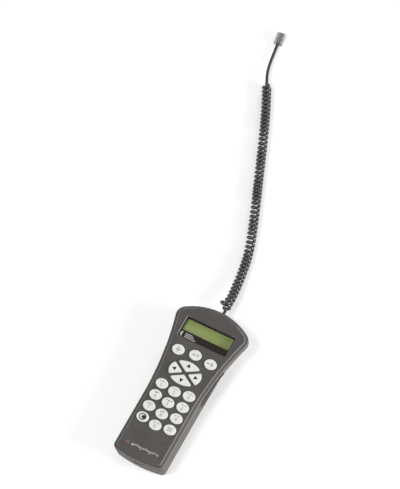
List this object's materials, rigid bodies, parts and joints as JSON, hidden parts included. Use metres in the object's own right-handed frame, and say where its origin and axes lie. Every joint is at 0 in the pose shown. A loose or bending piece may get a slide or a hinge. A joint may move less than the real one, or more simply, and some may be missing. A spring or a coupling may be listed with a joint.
{
  "type": "telescope hand controller",
  "caption": "Corded telescope hand controller with a flared display head, number keys, a four-way direction pad, and a curly cord with a modular plug.",
  "frame": {"origin": "middle of the flat back, where the case rests, without the cord and its plugs", "axes": "+Y along the case towards the display and the cord, +Z out of the keypad face, +X to the right of someone who reads the face"},
  "size_m": [0.1659, 0.5655, 0.0314],
  "materials": {
    "case_plastic": "fine spark-eroded texture",
    "grip_rubber": "fine ribs",
    "label_film": "satin film",
    "lens_acrylic": "clear window with a dark border",
    "gasket_foam": "open foam",
    "bezel_steel": "black",
    "display_cell": "yellow-green cell, switched off",
    "light_guide": "clear",
    "strip_rubber": "layered",
    "board_laminate": "green solder mask",
    "chip_package": "moulded",
    "crystal_can": "pressed can",
    "capacitor_can": "sleeved can",
    "light_package": "red light emitter",
    "mat_silicone": "moulded silicone",
    "key_silicone": "translucent white silicone",
    "socket_plastic": "moulded",
    "gold_contact": "gold plated",
    "port_steel": "tinned",
    "screw_steel": "black zinc",
    "plug_plastic": "clear",
    "cord_jacket": "satin jacket"
  },
  "bodies": {
    "case": {"front_shell": "case_plastic", "rear_shell": "case_plastic", "left_grip": "grip_rubber", "right_grip": "grip_rubber", "rear_label": "label_film", "display_lens": "lens_acrylic", "lens_gasket": "gasket_foam", "display_bezel": "bezel_steel", "display_glass": "display_cell", "display_light_guide": "light_guide", "display_contact_strips": "strip_rubber", "main_board": "board_laminate", "controller_chip": "chip_package", "memory_chip": "chip_package", "clock_crystal": "crystal_can", "capacitors": "capacitor_can", "key_lights": "light_package", "keypad_mat": "mat_silicone", "cord_jack": "socket_plastic", "jack_contacts": "gold_contact", "data_port_shell": "port_steel", "data_port_tongue": "socket_plastic", "case_screws": "screw_steel", "board_screws": "screw_steel", "handset_plug": "plug_plastic", "handset_plug_blades": "gold_contact", "mount_plug": "plug_plastic", "mount_plug_blades": "gold_contact", "cord_tail": "cord_jacket", "cord_coil": "cord_jacket", "cord_lead": "cord_jacket"},
    "key_top_left": {"key_top_left": "key_silicone"},
    "key_top_middle": {"key_top_middle": "key_silicone"},
    "key_top_right": {"key_top_right": "key_silicone"},
    "key_1": {"key_1": "key_silicone"},
    "key_2": {"key_2": "key_silicone"},
    "key_3": {"key_3": "key_silicone"},
    "key_4": {"key_4": "key_silicone"},
    "key_5": {"key_5": "key_silicone"},
    "key_6": {"key_6": "key_silicone"},
    "key_7": {"key_7": "key_silicone"},
    "key_8": {"key_8": "key_silicone"},
    "key_9": {"key_9": "key_silicone"},
    "key_ring": {"key_ring": "key_silicone"},
    "key_0": {"key_0": "key_silicone"},
    "key_info": {"key_info": "key_silicone"},
    "key_up": {"key_up": "key_silicone"},
    "key_down": {"key_down": "key_silicone"},
    "key_left": {"key_left": "key_silicone"},
    "key_right": {"key_right": "key_silicone"},
    "handset_plug_latch": {"handset_plug_latch": "plug_plastic"},
    "mount_plug_latch": {"mount_plug_latch": "plug_plastic"}
  },
  "joints": [
    {"name": "key_top_left_press", "type": "slide", "parent": "case", "child": "key_top_left", "axis": [0, 0, -1], "range_m": [0, 0.001], "stiffness_N_per_m": 300},
    {"name": "key_top_middle_press", "type": "slide", "parent": "case", "child": "key_top_middle", "axis": [0, 0, -1], "range_m": [0, 0.001], "stiffness_N_per_m": 300},
    {"name": "key_top_right_press", "type": "slide", "parent": "case", "child": "key_top_right", "axis": [0, 0, -1], "range_m": [0, 0.001], "stiffness_N_per_m": 300},
    {"name": "key_1_press", "type": "slide", "parent": "case", "child": "key_1", "axis": [0, 0, -1], "range_m": [0, 0.001], "stiffness_N_per_m": 300},
    {"name": "key_2_press", "type": "slide", "parent": "case", "child": "key_2", "axis": [0, 0, -1], "range_m": [0, 0.001], "stiffness_N_per_m": 300},
    {"name": "key_3_press", "type": "slide", "parent": "case", "child": "key_3", "axis": [0, 0, -1], "range_m": [0, 0.001], "stiffness_N_per_m": 300},
    {"name": "key_4_press", "type": "slide", "parent": "case", "child": "key_4", "axis": [0, 0, -1], "range_m": [0, 0.001], "stiffness_N_per_m": 300},
    {"name": "key_5_press", "type": "slide", "parent": "case", "child": "key_5", "axis": [0, 0, -1], "range_m": [0, 0.001], "stiffness_N_per_m": 300},
    {"name": "key_6_press", "type": "slide", "parent": "case", "child": "key_6", "axis": [0, 0, -1], "range_m": [0, 0.001], "stiffness_N_per_m": 300},
    {"name": "key_7_press", "type": "slide", "parent": "case", "child": "key_7", "axis": [0, 0, -1], "range_m": [0, 0.001], "stiffness_N_per_m": 300},
    {"name": "key_8_press", "type": "slide", "parent": "case", "child": "key_8", "axis": [0, 0, -1], "range_m": [0, 0.001], "stiffness_N_per_m": 300},
    {"name": "key_9_press", "type": "slide", "parent": "case", "child": "key_9", "axis": [0, 0, -1], "range_m": [0, 0.001], "stiffness_N_per_m": 300},
    {"name": "key_ring_press", "type": "slide", "parent": "case", "child": "key_ring", "axis": [0, 0, -1], "range_m": [0, 0.001], "stiffness_N_per_m": 300},
    {"name": "key_0_press", "type": "slide", "parent": "case", "child": "key_0", "axis": [0, 0, -1], "range_m": [0, 0.001], "stiffness_N_per_m": 300},
    {"name": "key_info_press", "type": "slide", "parent": "case", "child": "key_info", "axis": [0, 0, -1], "range_m": [0, 0.001], "stiffness_N_per_m": 300},
    {"name": "key_up_press", "type": "slide", "parent": "case", "child": "key_up", "axis": [0, 0, -1], "range_m": [0, 0.001], "stiffness_N_per_m": 300},
    {"name": "key_down_press", "type": "slide", "parent": "case", "child": "key_down", "axis": [0, 0, -1], "range_m": [0, 0.001], "stiffness_N_per_m": 300},
    {"name": "key_left_press", "type": "slide", "parent": "case", "child": "key_left", "axis": [0, 0, -1], "range_m": [0, 0.001], "stiffness_N_per_m": 300},
    {"name": "key_right_press", "type": "slide", "parent": "case", "child": "key_right", "axis": [0, 0, -1], "range_m": [0, 0.001], "stiffness_N_per_m": 300},
    {"name": "handset_plug_latch_squeeze", "type": "hinge", "parent": "case", "child": "handset_plug_latch", "pos_m": [0, 0.0886, 0.009], "axis": [1, 0, 0], "range_deg": [0, 5], "stiffness_Nm_per_rad": 0.3},
    {"name": "mount_plug_latch_squeeze", "type": "hinge", "parent": "case", "child": "mount_plug_latch", "pos_m": [-0.11495, 0.46366, 0.0073], "axis": [0.9899, 0.1414, 0], "range_deg": [0, 5], "stiffness_Nm_per_rad": 0.3}
  ]
}
